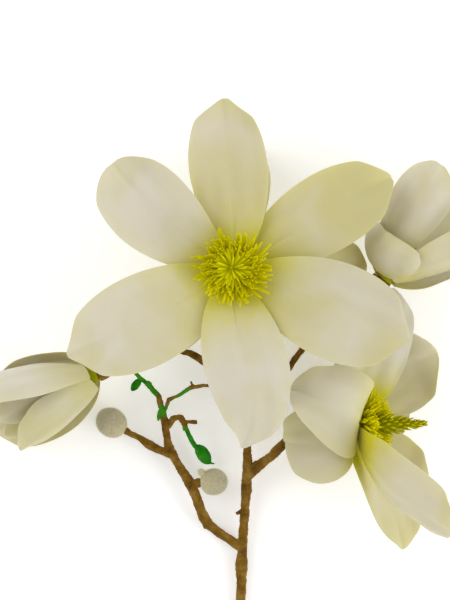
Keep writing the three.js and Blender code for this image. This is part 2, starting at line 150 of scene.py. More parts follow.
petalLook = {
    "cool": "#d3cdbe", "warm": "#c6bf8a", "base": "#cbc41c", "vein": "#c4bd88",
    "veins": 17, "veinShare": 0.035, "patches": 30.0, "roughness": 0.5, "sheen": 0.16,
}


def magnoliaPetal():
    # Petal skin is a waxy film of swollen cells: matt, velvety at a glance, and it lets light through.
    look = petalLook
    material = startMaterial("magnoliaPetalSkin")
    place = addNode(material, "ShaderNodeUVMap", {"uv_map": "UVMap"})
    parts = addNode(material, "ShaderNodeSeparateXYZ", links={0: (place, 0)})
    body = addNode(material, "ShaderNodeTexCoord")
    warmth = addNode(material, "ShaderNodeAttribute", {"attribute_name": "warmth"})
    cloud = addNode(material, "ShaderNodeTexNoise",
                    {"Scale": look["patches"], "Detail": 2.0, "Distortion": 0.6},
                    {"Vector": (body, "Object")})
    patchShare = addNode(material, "ShaderNodeMapRange",
                         {"From Min": 0.35, "From Max": 0.65, "To Min": -0.28, "To Max": 0.28},
                         {"Value": (cloud, "Fac")})
    patched = addNode(material, "ShaderNodeMath",
                      {"operation": "ADD"}, {0: (warmth, "Fac"), 1: (patchShare, 0)})
    # cream patches of about 30 mm, and the margins yellow first
    offset = addNode(material, "ShaderNodeMath", {"operation": "SUBTRACT", 1: 0.5}, {0: (parts, "X")})
    fromMidrib = addNode(material, "ShaderNodeMath", {"operation": "ABSOLUTE"}, {0: (offset, 0)})
    margin = addNode(material, "ShaderNodeMapRange",
                     {"From Min": 0.3, "From Max": 0.5, "To Min": 0.0, "To Max": 0.16},
                     {"Value": (fromMidrib, 0)})
    warmShare = addNode(material, "ShaderNodeMath", {"operation": "ADD", "use_clamp": True},
                        {0: (patched, 0), 1: (margin, 0)})
    skin = addNode(material, "ShaderNodeMix",
                   {"data_type": "RGBA", 6: look["cool"], 7: look["warm"]},
                   {0: (warmShare, 0)})
    # faint veins run from root to tip, about 2 mm apart
    veins = addNode(material, "ShaderNodeTexWave",
                    {"wave_type": "BANDS", "bands_direction": "X", "Scale": look["veins"] * 0.314,
                     "Distortion": 3.0, "Detail": 3.0, "Detail Scale": 0.6},
                    {"Vector": (place, 0)})
    veinLine = addNode(material, "ShaderNodeValToRGB", {"stops": [(0.6, 0.0), (1.0, 1.0)]},
                       {"Fac": (veins, "Fac")})
    veinShare = addNode(material, "ShaderNodeMath", {"operation": "MULTIPLY", 1: look["veinShare"]},
                        {0: (veinLine, "Color")})
    veined = addNode(material, "ShaderNodeMix", {"data_type": "RGBA", 7: look["vein"]},
                     {0: (veinShare, 0), 6: (skin, 2)})
    # the yellow-green of the root fades before half the length, in a front ragged every 6 mm or so
    rag = addNode(material, "ShaderNodeTexNoise",
                  {"Scale": 160.0, "Detail": 3.0}, {"Vector": (body, "Object")})
    ragged = addNode(material, "ShaderNodeMath", {"operation": "MULTIPLY_ADD", 1: 0.09, 2: -0.045},
                     {0: (rag, "Fac")})
    reach = addNode(material, "ShaderNodeMath", {"operation": "ADD"}, {0: (parts, "Y"), 1: (ragged, 0)})
    rootMask = addNode(material, "ShaderNodeValToRGB",
                       {"stops": [(0.0, 1.0), (0.09, 0.92), (0.15, 0.6), (0.22, 0.28),
                                  (0.32, 0.09), (0.46, 0.0)]},
                       {"Fac": (reach, 0)})
    glow = addNode(material, "ShaderNodeAttribute", {"attribute_name": "rootGlow"})
    rootShare = addNode(material, "ShaderNodeMath", {"operation": "MULTIPLY", "use_clamp": True},
                        {0: (rootMask, "Color"), 1: (glow, "Fac")})
    colored = addNode(material, "ShaderNodeMix", {"data_type": "RGBA", 7: look["base"]},
                      {0: (rootShare, 0), 6: (veined, 2)})
    # cell grain of about 0.4 mm, drawn coarser than life so that it shows
    grain = addNode(material, "ShaderNodeTexNoise",
                    {"Scale": 2600.0, "Detail": 2.0}, {"Vector": (body, "Object")})
    roughness = addNode(material, "ShaderNodeMapRange",
                        {"To Min": look["roughness"] - 0.06, "To Max": look["roughness"] + 0.08},
                        {"Value": (grain, "Fac")})
    veinBump = addNode(material, "ShaderNodeBump",
                       {"Strength": 0.05, "Distance": 0.0003}, {"Height": (veins, "Fac")})
    grainBump = addNode(material, "ShaderNodeBump", {"Strength": 0.1, "Distance": 0.00015},
                        {"Height": (grain, "Fac"), "Normal": (veinBump, "Normal")})
    shader = addNode(material, "ShaderNodeBsdfPrincipled",
                     {"Sheen Weight": look["sheen"], "Sheen Roughness": 0.5, "Specular IOR Level": 0.3,
                      "Subsurface Weight": 0.3, "Subsurface Radius": (1.0, 0.85, 0.45),
                      "Subsurface Scale": 0.0022},
                     {"Base Color": (colored, 2), "Roughness": (roughness, 0),
                      "Normal": (grainBump, "Normal")})
    addNode(material, "ShaderNodeOutputMaterial", links={"Surface": (shader, "BSDF")})
    return material


# the root colour is painted shade, darker where the stamens crowd
filamentLook = {"root": "#c2bb00", "middle": "#d8d100", "tip": "#ddd606", "roughness": 0.75}


def stamenFilament():
    # A stamen is a fleshy strap dusted with pollen: matt yellow, with painted shade darkening the root where
    # they crowd.
    look = filamentLook
    material = startMaterial("stamenFilament")
    reach = addNode(material, "ShaderNodeAttribute", {"attribute_name": "reach"})
    shade = addNode(material, "ShaderNodeAttribute", {"attribute_name": "shade"})
    body = addNode(material, "ShaderNodeTexCoord")
    color = addNode(material, "ShaderNodeValToRGB",
                    {"stops": [(0.0, look["root"]), (0.4, look["middle"]), (1.0, look["tip"])]},
                    {"Fac": (reach, "Fac")})
    # pollen clumps of about 0.45 mm, drawn coarser than the grains so that they show
    pollen = addNode(material, "ShaderNodeTexNoise",
                     {"Scale": 2200.0, "Detail": 2.0}, {"Vector": (body, "Object")})
    mottle = addNode(material, "ShaderNodeMath", {"operation": "MULTIPLY_ADD", 1: 0.3},
                     {0: (pollen, "Fac"), 2: (shade, "Fac")})
    toned = addNode(material, "ShaderNodeMix", {"data_type": "RGBA", "blend_type": "MULTIPLY", 0: 1.0},
                    {6: (color, "Color"), 7: (mottle, 0)})
    grain = addNode(material, "ShaderNodeBump",
                    {"Strength": 0.3, "Distance": 0.0002}, {"Height": (pollen, "Fac")})
    shader = addNode(material, "ShaderNodeBsdfPrincipled",
                     {"Roughness": look["roughness"], "Specular IOR Level": 0.05, "Subsurface Weight": 0.3,
                      "Subsurface Radius": (1.0, 0.9, 0.1), "Subsurface Scale": 0.001},
                     {"Base Color": (toned, 2), "Normal": (grain, "Normal")})
    addNode(material, "ShaderNodeOutputMaterial", links={"Surface": (shader, "BSDF")})
    return material


# the first colour is painted shade, at each carpel's root and on the core between them
carpelLook = {"shadeBetween": "#909000", "scale": "#b8b500", "point": "#d2cb06", "roughness": 0.6}


def carpelCone():
    # Young carpels are fleshy with a dull wax: olive green, lighter at each point, with painted shade between
    # them.
    look = carpelLook
    material = startMaterial("carpelCone")
    reach = addNode(material, "ShaderNodeAttribute", {"attribute_name": "reach"})
    shade = addNode(material, "ShaderNodeAttribute", {"attribute_name": "shade"})
    body = addNode(material, "ShaderNodeTexCoord")
    color = addNode(material, "ShaderNodeValToRGB",
                    {"stops": [(0.0, look["shadeBetween"]), (0.4, look["scale"]), (1.0, look["point"])]},
                    {"Fac": (reach, "Fac")})
    # soft specks of about 0.7 mm
    speck = addNode(material, "ShaderNodeTexNoise",
                    {"Scale": 1500.0, "Detail": 2.0}, {"Vector": (body, "Object")})
    mottle = addNode(material, "ShaderNodeMath", {"operation": "MULTIPLY_ADD", 1: 0.3},
                     {0: (speck, "Fac"), 2: (shade, "Fac")})
    toned = addNode(material, "ShaderNodeMix", {"data_type": "RGBA", "blend_type": "MULTIPLY", 0: 1.0},
                    {6: (color, "Color"), 7: (mottle, 0)})
    waxy = addNode(material, "ShaderNodeBump",
                   {"Strength": 0.25, "Distance": 0.0002}, {"Height": (speck, "Fac")})
    shader = addNode(material, "ShaderNodeBsdfPrincipled",
                     {"Roughness": look["roughness"], "Specular IOR Level": 0.05},
                     {"Base Color": (toned, 2), "Normal": (waxy, "Normal")})
    addNode(material, "ShaderNodeOutputMaterial", links={"Surface": (shader, "BSDF")})
    return material


barkLook = {"deep": "#4a3000", "brown": "#775305", "ridge": "#9c7f3c", "young": "#1f7c06",
            "youngLit": "#4f9412", "roughness": (0.6, 0.9)}


def magnoliaBark():
    # Twig bark is dry cork: matt brown, paler where the skin lifts, with pale pores, green where young.
    look = barkLook
    material = startMaterial("magnoliaBark")
    body = addNode(material, "ShaderNodeTexCoord")
    # brown patches of about 6 mm, pores 2.4 mm apart and a fine grit of 1.1 mm
    patches = addNode(material, "ShaderNodeTexNoise", {"Scale": 170.0, "Detail": 5.0, "Roughness": 0.6},
                      {"Vector": (body, "Object")})
    brown = addNode(material, "ShaderNodeValToRGB",
                    {"stops": [(0.3, look["deep"]), (0.5, look["brown"]), (0.8, look["ridge"])]},
                    {"Fac": (patches, "Fac")})
    pores = addNode(material, "ShaderNodeTexVoronoi", {"Scale": 420.0}, {"Vector": (body, "Object")})
    poreMask = addNode(material, "ShaderNodeValToRGB",
                       {"stops": [(0.0, 0.35), (0.16, 0.2), (0.24, 0.0)]},
                       {"Fac": (pores, "Distance")})
    pored = addNode(material, "ShaderNodeMix", {"data_type": "RGBA", 7: look["ridge"]},
                    {0: (poreMask, "Color"), 6: (brown, "Color")})
    young = addNode(material, "ShaderNodeAttribute", {"attribute_name": "young"})
    greens = addNode(material, "ShaderNodeValToRGB",
                     {"stops": [(0.35, look["young"]), (0.7, look["youngLit"])]},
                     {"Fac": (patches, "Fac")})
    skin = addNode(material, "ShaderNodeMix", {"data_type": "RGBA"},
                   {0: (young, "Fac"), 6: (pored, 2), 7: (greens, "Color")})
    fine = addNode(material, "ShaderNodeTexNoise",
                   {"Scale": 900.0, "Detail": 4.0}, {"Vector": (body, "Object")})
    coarse = addNode(material, "ShaderNodeBump",
                     {"Strength": 0.5, "Distance": 0.0006}, {"Height": (patches, "Fac")})
    relief = addNode(material, "ShaderNodeBump", {"Strength": 0.45, "Distance": 0.0003},
                     {"Height": (fine, "Fac"), "Normal": (coarse, "Normal")})
    roughness = addNode(material, "ShaderNodeMapRange",
                        {"To Min": look["roughness"][0], "To Max": look["roughness"][1]},
                        {"Value": (fine, "Fac")})
    shader = addNode(material, "ShaderNodeBsdfPrincipled",
                     {"Specular IOR Level": 0.2, "Sheen Weight": 0.25, "Sheen Tint": "#c9b06a"},
                     {"Base Color": (skin, 2), "Roughness": (roughness, 0), "Normal": (relief, "Normal")})
    addNode(material, "ShaderNodeOutputMaterial", links={"Surface": (shader, "BSDF")})
    return material


furLook = {"root": "#d6cfa6", "middle": "#e6dfc2", "tip": "#f8f5ea", "roughness": 0.85}


def budFur():
    # Winter buds wear flat silky hairs: silver at the tips, straw where the bud shows through.
    look = furLook
    material = startMaterial("silkyBudFur")
    reach = addNode(material, "ShaderNodeAttribute", {"attribute_name": "reach"})
    body = addNode(material, "ShaderNodeTexCoord")
    color = addNode(material, "ShaderNodeValToRGB",
                    {"stops": [(0.0, look["root"]), (0.4, look["middle"]), (1.0, look["tip"])]},
                    {"Fac": (reach, "Fac")})
    # tufts of about 1.1 mm, and single strands drawn at 0.3 mm, coarser than life so that they show
    patch = addNode(material, "ShaderNodeTexNoise",
                    {"Scale": 900.0, "Detail": 3.0}, {"Vector": (body, "Object")})
    tone = addNode(material, "ShaderNodeMapRange",
                   {"From Min": 0.35, "From Max": 0.65, "To Min": 0.88, "To Max": 1.02},
                   {"Value": (patch, "Fac")})
    toned = addNode(material, "ShaderNodeMix", {"data_type": "RGBA", "blend_type": "MULTIPLY", 0: 1.0},
                    {6: (color, "Color"), 7: (tone, 0)})
    strands = addNode(material, "ShaderNodeTexNoise",
                      {"Scale": 3200.0, "Detail": 1.0}, {"Vector": (body, "Object")})
    relief = addNode(material, "ShaderNodeBump",
                     {"Strength": 0.4, "Distance": 0.0002}, {"Height": (strands, "Fac")})
    shader = addNode(material, "ShaderNodeBsdfPrincipled",
                     {"Roughness": look["roughness"], "Specular IOR Level": 0.2, "Sheen Weight": 0.8,
                      "Sheen Roughness": 0.35, "Sheen Tint": "#efe9d8"},
                     {"Base Color": (toned, 2), "Normal": (relief, "Normal")})
    addNode(material, "ShaderNodeOutputMaterial", links={"Surface": (shader, "BSDF")})
    return material


shootLook = {"dark": "#0c6402", "green": "#1f7c06", "light": "#4f9412", "roughness": 0.6}


def youngShoot():
    # New growth has a thin smooth skin over sappy green tissue, lighter in patches.
    look = shootLook
    material = startMaterial("youngShootSkin")
    body = addNode(material, "ShaderNodeTexCoord")
    # patches of about 4 mm and a fine relief of 0.7 mm
    patch = addNode(material, "ShaderNodeTexNoise",
                    {"Scale": 230.0, "Detail": 3.0}, {"Vector": (body, "Object")})
    color = addNode(material, "ShaderNodeValToRGB",
                    {"stops": [(0.3, look["dark"]), (0.5, look["green"]), (0.75, look["light"])]},
                    {"Fac": (patch, "Fac")})
    fine = addNode(material, "ShaderNodeTexNoise",
                   {"Scale": 1400.0, "Detail": 2.0}, {"Vector": (body, "Object")})
    relief = addNode(material, "ShaderNodeBump",
                     {"Strength": 0.25, "Distance": 0.0002}, {"Height": (fine, "Fac")})
    shader = addNode(material, "ShaderNodeBsdfPrincipled",
                     {"Roughness": look["roughness"], "Specular IOR Level": 0.12},
                     {"Base Color": (color, "Color"), "Normal": (relief, "Normal")})
    addNode(material, "ShaderNodeOutputMaterial", links={"Surface": (shader, "BSDF")})
    return material


petalSkin = magnoliaPetal()
filamentSkin = stamenFilament()
carpelSkin = carpelCone()
bark = magnoliaBark()
fur = budFur()
shootSkin = youngShoot()
print("materials made")

# Lengths are in millimetres and angles in degrees. azimuth is a petal's heading round its bloom's axis.
# rise is its slope at the root, middle and tip, and turn is its swing from that heading there.
# level is the height of its root on the receptacle, and warmth goes from gray white to cream.
petalBlade = {
    "turn": (0, 0, 0), "roll": 0, "twist": 0, "pinch": 0.35, "wave": 0.5, "waves": 1.6, "slant": 1.3,
    "neck": 0.05, "shoulder": 0.75, "point": 0.55, "sharp": 0.3, "crease": 0.45, "creaseWidth": 0.55,
    "tipCrease": 0.5, "tipCreaseWidth": 1.5, "folds": 1.2, "foldLength": 26, "foldWidth": 7,
    "foldShift": 0.37,
}
# where each form grows in or fades, from 0 at a petal's root to 1 at its tip
petalSpans = {
    "creaseStart": (0.02, 0.1), "creaseEnd": (0.22, 0.5), "wave": (0.1, 0.5), "folds": (0.12, 0.4),
    "tipCrease": (0.55, 0.8), "pinch": (0.72, 1), "thinTip": (0.8, 1), "sharp": (0.85, 1),
}
bladeMesh = {"columns": 28, "rows": 56, "thickness": 0.8, "rim": 0.35, "tipReach": 0.997, "rowSpread": 0.35}
seat = {"radius": 4.7, "taper": 0.1, "petalGap": 0.85, "gap": 0.3, "footDepth": 0.02}

# carpelShade is painted light and shade: the open bloom's pistil is painted bright, and the pistils inside
# the other blooms' petals darker
openBloom = {
    "node": "open_bloom", "axis": (-0.05, 0.02, 1), "up": (0, 1, 0), "seed": 11, "receptacle": 10.9,
    "pistil": 36, "filaments": 240, "filamentLength": (15.4, 11.4), "filamentRise": (16, 62),
    "carpels": 80, "carpelLength": (10.5, 8.0), "carpelRise": (2, 24), "carpelShade": 1.0,
    "shared": {"rootGlow": 1.0},
    "petals": {
        "back_right": {"azimuth": 0, "length": 62, "width": 34, "rise": (-4, -28, -40), "level": 3.4,
                       "cup": (-0.2, 0.2), "warmth": 1.0},
        "back_upper": {"azimuth": 93, "length": 75, "width": 36, "rise": (-8, -48, -60), "level": 2.1,
                       "cup": (-0.2, 0.2), "warmth": 0.9},
        "back_lower": {"azimuth": 213, "length": 62, "width": 36, "rise": (-4, -28, -40), "level": 0.8,
                       "cup": (-0.2, 0.2), "warmth": 1.0},
        "right_upper": {"azimuth": 31, "turn": (2, 1, -6), "length": 78, "width": 36, "rise": (6, 12, -6),
                        "level": 4.8, "cup": (0.1, 0.2), "point": 0.5, "sharp": 0.35, "warmth": 0.8},
        "top": {"azimuth": 97, "turn": (-14, 10, -9), "length": 73.5, "width": 36, "rise": (10, 14, -4),
                "level": 6.1, "cup": (0.2, 0.3), "roll": -6, "point": 0.5, "sharp": 0.5, "warmth": 0.45},
        "left_upper": {"azimuth": 144, "turn": (8, -8, -16), "length": 70, "width": 39, "rise": (14, 26, 6),
                       "level": 7.4, "cup": (0.3, 0.5), "roll": -6, "shoulder": 0.85, "point": 0.42,
                       "sharp": 0.15, "warmth": 0.05},
        "left_lower": {"azimuth": 207, "turn": (8, -4, -2), "length": 80.5, "width": 43, "rise": (12, 10, 2),
                       "level": 8.7, "cup": (0.3, 0.4), "roll": -6, "point": 0.58, "sharp": 0.5,
                       "warmth": 0.35},
        "right_lower": {"azimuth": 338, "length": 81.5, "width": 45, "rise": (12, 10, 2), "level": 8.7,
                        "cup": (0.3, 0.4), "roll": 6, "shoulder": 0.85, "sharp": 0.5, "warmth": 0.45},
        "bottom": {"azimuth": 272, "turn": (-10, 46, -34), "length": 79, "width": 38, "rise": (14, 16, -14),
                   "level": 10.1, "cup": (0.3, -0.3), "point": 0.68, "sharp": 0.55, "warmth": 0.1,
                   "crease": 0.7},
    },
}
rightBloom = {
    "node": "right_bloom", "axis": (0.905, 0.05, 0.4226), "up": (0, 0, 1), "seed": 23, "receptacle": 10.4,
    "pistil": 42, "filaments": 180, "filamentLength": (12.8, 9.8), "filamentRise": (22, 56),
    "carpels": 96, "carpelLength": (5.2, 2.8), "carpelRise": (20, 44), "carpelShade": 0.64,
    "shared": {"rootGlow": 1.0},
    "petals": {
        "under": {"azimuth": 226, "length": 48, "width": 34, "rise": (14, 40, 60), "level": 1.8,
                  "cup": (0.6, 0.9), "warmth": 0.6},
        "low": {"azimuth": 275, "length": 40, "width": 28, "rise": (0, 30, 64), "level": 0.6,
                "cup": (0.5, 0.7), "warmth": 0.6},
        "far_low": {"azimuth": 320, "length": 54, "width": 44, "rise": (14, 50, 76), "level": 2.9,
                    "cup": (0.5, 0.9), "roll": -30, "point": 0.45, "warmth": 0.4, "rootGlow": 2.0},
        "far_side": {"azimuth": 0, "length": 63, "width": 38, "rise": (24, 24, 24), "level": 3.8,
                     "cup": (0.4, 0.4), "roll": -40, "shoulder": 0.6, "warmth": 0.0, "rootGlow": 2.0},
        "near_side": {"azimuth": 184, "length": 58, "width": 28, "rise": (36, 22, 6), "level": 5.0,
                      "cup": (0.4, 0.5), "roll": 30, "warmth": 0.7, "rootGlow": 2.0},
        "folded_low": {"azimuth": 104, "length": 41, "width": 38, "rise": (38, -80, -110), "level": 5.2,
                       "cup": (0.2, 0.4), "warmth": 0.6},
        "folded_top": {"azimuth": 69, "turn": (30, -30, -60), "length": 52, "width": 40,
                       "rise": (56, -60, -80), "level": 8.3, "cup": (0.2, 0.4), "roll": -10,
                       "twist": -20, "shoulder": 0.6, "point": 0.6, "warmth": 0.5},
        "long_near": {"azimuth": 134, "length": 85, "width": 35, "rise": (22, 62, 50), "level": 9.2,
                      "cup": (0.5, 0.7), "roll": -20, "warmth": 0.6, "rootGlow": 2.0},
    },
}
leftBloom = {
    "node": "left_bloom", "axis": (-0.92, -0.39, 0), "up": (0, 0, 1), "seed": 37, "receptacle": 6.4,
    "pistil": 26, "filaments": 40, "filamentLength": (7, 6), "filamentRise": (50, 70),
    "carpels": 30, "carpelLength": (4.6, 2.4), "carpelRise": (20, 44), "carpelShade": 0.7,
    "shared": {"rootGlow": 0.3},
    "petals": {
        "under": {"azimuth": 282, "length": 70, "width": 38, "rise": (20, 70, 92), "level": 0.6,
                  "cup": (0.8, 0.9), "warmth": 0.6},
        "upper_back": {"azimuth": 212, "length": 46, "width": 23, "rise": (46, 84, 96), "level": 1.8,
                       "cup": (0.8, 0.9), "roll": 18, "warmth": 0.5},
        "lower_side": {"azimuth": 22, "length": 46, "width": 32, "rise": (54, 80, 76), "level": 3.0,
                       "cup": (0.8, 0.9), "roll": 12, "neck": 0.15, "warmth": 0.7},
        "top": {"azimuth": 134, "length": 66, "width": 34, "rise": (50, 80, 88), "level": 4.2,
                "cup": (0.7, 0.8), "roll": 20, "neck": 0.15, "warmth": 0.3},
        "low_side": {"azimuth": 314, "length": 50, "width": 26, "rise": (56, 86, 92), "level": 3.6,
                     "cup": (0.8, 0.9), "roll": 8, "warmth": 0.7},
        "inner": {"azimuth": 80, "length": 46, "width": 20, "rise": (72, 90, 92), "level": 5.3,
                  "cup": (0.8, 0.9), "roll": -6, "warmth": 0.6},
    },
}
upperBloom = {
    "node": "upper_bloom", "axis": (0.64, 0.77, 0), "up": (0, 0, 1), "seed": 41, "receptacle": 6.4,
    "pistil": 26, "filaments": 40, "filamentLength": (7, 6), "filamentRise": (50, 70),
    "carpels": 30, "carpelLength": (4.6, 2.4), "carpelRise": (20, 44), "carpelShade": 0.7,
    "shared": {"rootGlow": 0.5},
    "petals": {
        "under": {"azimuth": 272, "length": 72, "width": 38, "rise": (20, 82, 92), "level": 0.6,
                  "cup": (0.7, 0.8), "warmth": 0.5},
        "short_outer": {"azimuth": 56, "length": 26, "width": 42, "rise": (0, 50, 66), "level": 1.6,
                        "cup": (1.0, 1.2), "neck": 0.35, "point": 0.35, "warmth": 0.5},
        "right_side": {"azimuth": 144, "length": 62, "width": 32, "rise": (46, 64, 76), "level": 2.8,
                       "cup": (0.7, 0.8), "warmth": 0.55},
        "left_side": {"azimuth": 336, "length": 40, "width": 30, "rise": (40, 70, 78), "level": 3.8,
                      "cup": (0.8, 0.9), "roll": 18, "warmth": 0.5},
        "top": {"azimuth": 56, "length": 56, "width": 31, "rise": (44, 80, 80), "level": 5.0,
                "cup": (0.7, 0.8), "roll": 14, "shoulder": 0.95, "point": 0.42, "warmth": 0.3},
        "low_side": {"azimuth": 212, "length": 56, "width": 32, "rise": (30, 76, 84), "level": 1.8,
                     "cup": (0.8, 0.9), "roll": 14, "warmth": 0.55},
    },
}


def standBloom(bloom):
    # the seat is where the bloom's pistil meets its twig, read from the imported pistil
    axis = Vector(bloom["axis"]).normalized()
    up = Vector(bloom["up"])
    up = (up - axis * up.dot(axis)).normalized()
    points = [v.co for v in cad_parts[bloom["node"] + "_pistil"].data.vertices]
    lowest = min(p.dot(axis) for p in points)
    foot = [p for p in points if p.dot(axis) < lowest + seat["footDepth"] * mm]
    middle = sum(foot, Vector()) / len(foot)
    bloom["seatPoint"] = middle - axis * seat["gap"] * mm
    bloom["turned"] = (up.cross(axis), up, axis)


def inBloom(bloom, local):
    side, up, axis = bloom["turned"]
    return bloom["seatPoint"] + (side * local.x + up * local.y + axis * local.z) * mm


def receptacleRadius(height):
    return seat["radius"] - seat["taper"] * height


def alongPetal(values, s):
    return (1 - s) ** 2 * values[0] + 2 * s * (1 - s) * values[1] + s ** 2 * values[2]


def petalHalfWidth(petal, s):
    def outline(at):
        return (at + petal["neck"]) ** petal["shoulder"] * (1 - at) ** petal["point"]
    widest = (petal["shoulder"] - petal["point"] * petal["neck"]) / (petal["shoulder"] + petal["point"])
    narrowed = 1 - petal["sharp"] * smooth(*petalSpans["sharp"], s)
    return petal["width"] / 2 * outline(s) / outline(widest) * narrowed


def petalRow(petal, s):
    rise = math.radians(alongPetal(petal["rise"], s))
    turn = math.radians(petal["azimuth"] + alongPetal(petal["turn"], s))
    forward = Vector((math.cos(turn) * math.cos(rise), math.sin(turn) * math.cos(rise), math.sin(rise)))
    across = Vector((-math.sin(turn), math.cos(turn), 0))
    inner = forward.cross(across)
    roll = math.radians(petal["roll"] + petal["twist"] * s)
    return (forward, across * math.cos(roll) + inner * math.sin(roll),
            inner * math.cos(roll) - across * math.sin(roll))


def petalPoint(petal, midrib, s, t):
    forward, across, inner = petalRow(petal, s)
    arc = petalHalfWidth(petal, s) * t
    curvature = mix(petal["cup"][0], petal["cup"][1], s) / (petal["width"] / 2)
    bent = curvature * arc
    sideways = arc if abs(bent) < 1e-4 else math.sin(bent) / curvature
    raised = 0 if abs(bent) < 1e-4 else (1 - math.cos(bent)) / curvature
    edge = t * t * smooth(*petalSpans["wave"], s)
    ripple = petal["wave"] * edge * math.sin(math.tau * petal["waves"] * s + petal["slant"] * t)
    tipFold = petal["pinch"] * abs(arc) * smooth(*petalSpans["pinch"], s)
    crease = (-petal["crease"] * bump(0, petal["creaseWidth"], arc)
              * smooth(*petalSpans["creaseStart"], s) * (1 - smooth(*petalSpans["creaseEnd"], s)))
    crease -= petal["tipCrease"] * bump(0, petal["tipCreaseWidth"], arc) * smooth(*petalSpans["tipCrease"], s)
    spot = Vector((s * petal["length"] / petal["foldLength"], arc / petal["foldWidth"],
                   petal["azimuth"] * petal["foldShift"] + petal["level"]))
    softFold = petal["folds"] * noise.noise(spot) * smooth(*petalSpans["folds"], s)
    return midrib + across * sideways + inner * (raised + ripple + tipFold + crease + softFold)


def midribPoints(petal, steps):
    heading = math.radians(petal["azimuth"])
    radius = receptacleRadius(petal["level"]) + seat["petalGap"]
    point = Vector((radius * math.cos(heading), radius * math.sin(heading), petal["level"]))
    points, reached = [], 0.0
    for u in steps:
        s = bladeMesh["tipReach"] * u * (1 + bladeMesh["rowSpread"] * (1 - u))
        point = point + petalRow(petal, (reached + s) / 2)[0] * petal["length"] * (s - reached)
        points.append((s, point))
        reached = s
    return points


def makePetal(bloom, name):
    petal = {**petalBlade, **bloom["shared"], **bloom["petals"][name]}
    deselectAll()
    bpy.ops.mesh.primitive_grid_add(x_subdivisions=bladeMesh["columns"], y_subdivisions=bladeMesh["rows"],
                                    size=2)
    piece = bpy.context.object
    vertices = piece.data.vertices
    lines = sorted({round(v.co.y, 4) for v in vertices})
    rows = dict(zip(lines, midribPoints(petal, [(y + 1) / 2 for y in lines])))
    fullness = []
    for vertex in vertices:
        t = vertex.co.x
        s, midrib = rows[round(vertex.co.y, 4)]
        fullness.append(1 - max(abs(t) ** 4, smooth(*petalSpans["thinTip"], s)))
        vertex.co = inBloom(bloom, petalPoint(petal, midrib, s, t))
    group = piece.vertex_groups.new(name="full")
    for index, weight in enumerate(fullness):
        group.add([index], weight, "REPLACE")
    applyModifier(piece, "SOLIDIFY", {"thickness": bladeMesh["thickness"] * mm, "offset": 0.0,
                                      "vertex_group": "full", "thickness_vertex_group": bladeMesh["rim"]})
    piece.vertex_groups.clear()
    count = len(piece.data.vertices)
    floatAttribute(piece, "warmth", [petal["warmth"]] * count)
    floatAttribute(piece, "rootGlow", [petal["rootGlow"]] * count)
    node = f"{bloom['node']}_petal_{name}"
    finishPiece(piece, node + "_blade", node, petalSkin)


def ringedCylinder(sides, bottom, height, cuts, ends):
    # a closed cylinder of radius 1 whose upright edges are cut into equal rows
    deselectAll()
    bpy.ops.mesh.primitive_cylinder_add(vertices=sides, radius=1, depth=height, end_fill_type=ends,
                                        location=(0, 0, bottom + height / 2))
    piece = bpy.context.object
    bpy.ops.object.transform_apply(location=True)
    bpy.ops.object.mode_set(mode="EDIT")
    bpy.ops.mesh.select_all(action="DESELECT")
    bpy.ops.mesh.select_mode(type="EDGE")
    bpy.ops.object.mode_set(mode="OBJECT")
    for edge in piece.data.edges:
        first, second = (piece.data.vertices[i].co.z for i in edge.vertices)
        edge.select = abs(first - second) > height / 2
    bpy.ops.object.mode_set(mode="EDIT")
    bpy.ops.mesh.subdivide(number_cuts=cuts)
    bpy.ops.object.mode_set(mode="OBJECT")
    return piece


strapShape = {"root": 0.7, "belly": 0.4, "bellyAt": 0.7, "bellyWidth": 0.35, "closing": 6, "flatness": 0.7}


def taperedStrap(name, sides, cuts, tip):
    # a closed strap from z 0 to z 1, one unit wide, narrowed to its tip
    piece = ringedCylinder(sides, 0, 1, cuts, "NGON")
    for vertex in piece.data.vertices:
        z = vertex.co.z
        belly = strapShape["belly"] * bump(strapShape["bellyAt"], strapShape["bellyWidth"], z)
        size = max(tip, (1 - z ** strapShape["closing"]) * (strapShape["root"] + belly))
        vertex.co.x *= size
        vertex.co.y *= size
    piece.name = name
    return piece


def bentCopy(template, bloom, foot, heading, rise, length, width, curl, lean, shade):
    outward = Vector((math.cos(heading), math.sin(heading), 0))
    across = Vector((-math.sin(heading), math.cos(heading), 0))
    lift = Vector((0, 0, 1))
    copy = template.copy()
    copy.data = template.data.copy()
    bpy.context.collection.objects.link(copy)
    reach = []
    for vertex in copy.data.vertices:
        s = vertex.co.z
        slope = math.radians(rise + curl * s)
        place = outward * (foot[0] + length * s * math.cos(slope))
        place += lift * (foot[1] + length * s * math.sin(slope))
        place += across * (lean * s * s + vertex.co.x * width)
        above = lift * math.cos(slope) - outward * math.sin(slope)
        place += above * vertex.co.y * width * strapShape["flatness"]
        vertex.co = inBloom(bloom, place)
        reach.append(s)
    floatAttribute(copy, "reach", reach)
    floatAttribute(copy, "shade", [shade] * len(reach))
    return copy


# a spread comes with the share of it that lies below zero, and a drawn value with its least and its spread
tuft = {
    "inner": 3.1, "outer": 4.4, "height": 4.4, "sides": 32, "lowered": 0.8, "rim": 0.35, "reach": 0.1,
    "shade": 0.7, "strapSides": 5, "strapCuts": 5, "strapTip": 0.5, "sunk": 0.5, "inset": 0.9,
    "firstRow": 0.9, "lastRow": 1.1, "width": 0.8, "curl": 6, "turnSpread": (12, 0.5),
    "riseSpread": (12, 0.5), "curlSpread": (16, 0.4), "leanSpread": (5.5, 0.3),
    "drawnLength": (0.82, 0.3), "drawnShade": (0.75, 0.22),
}


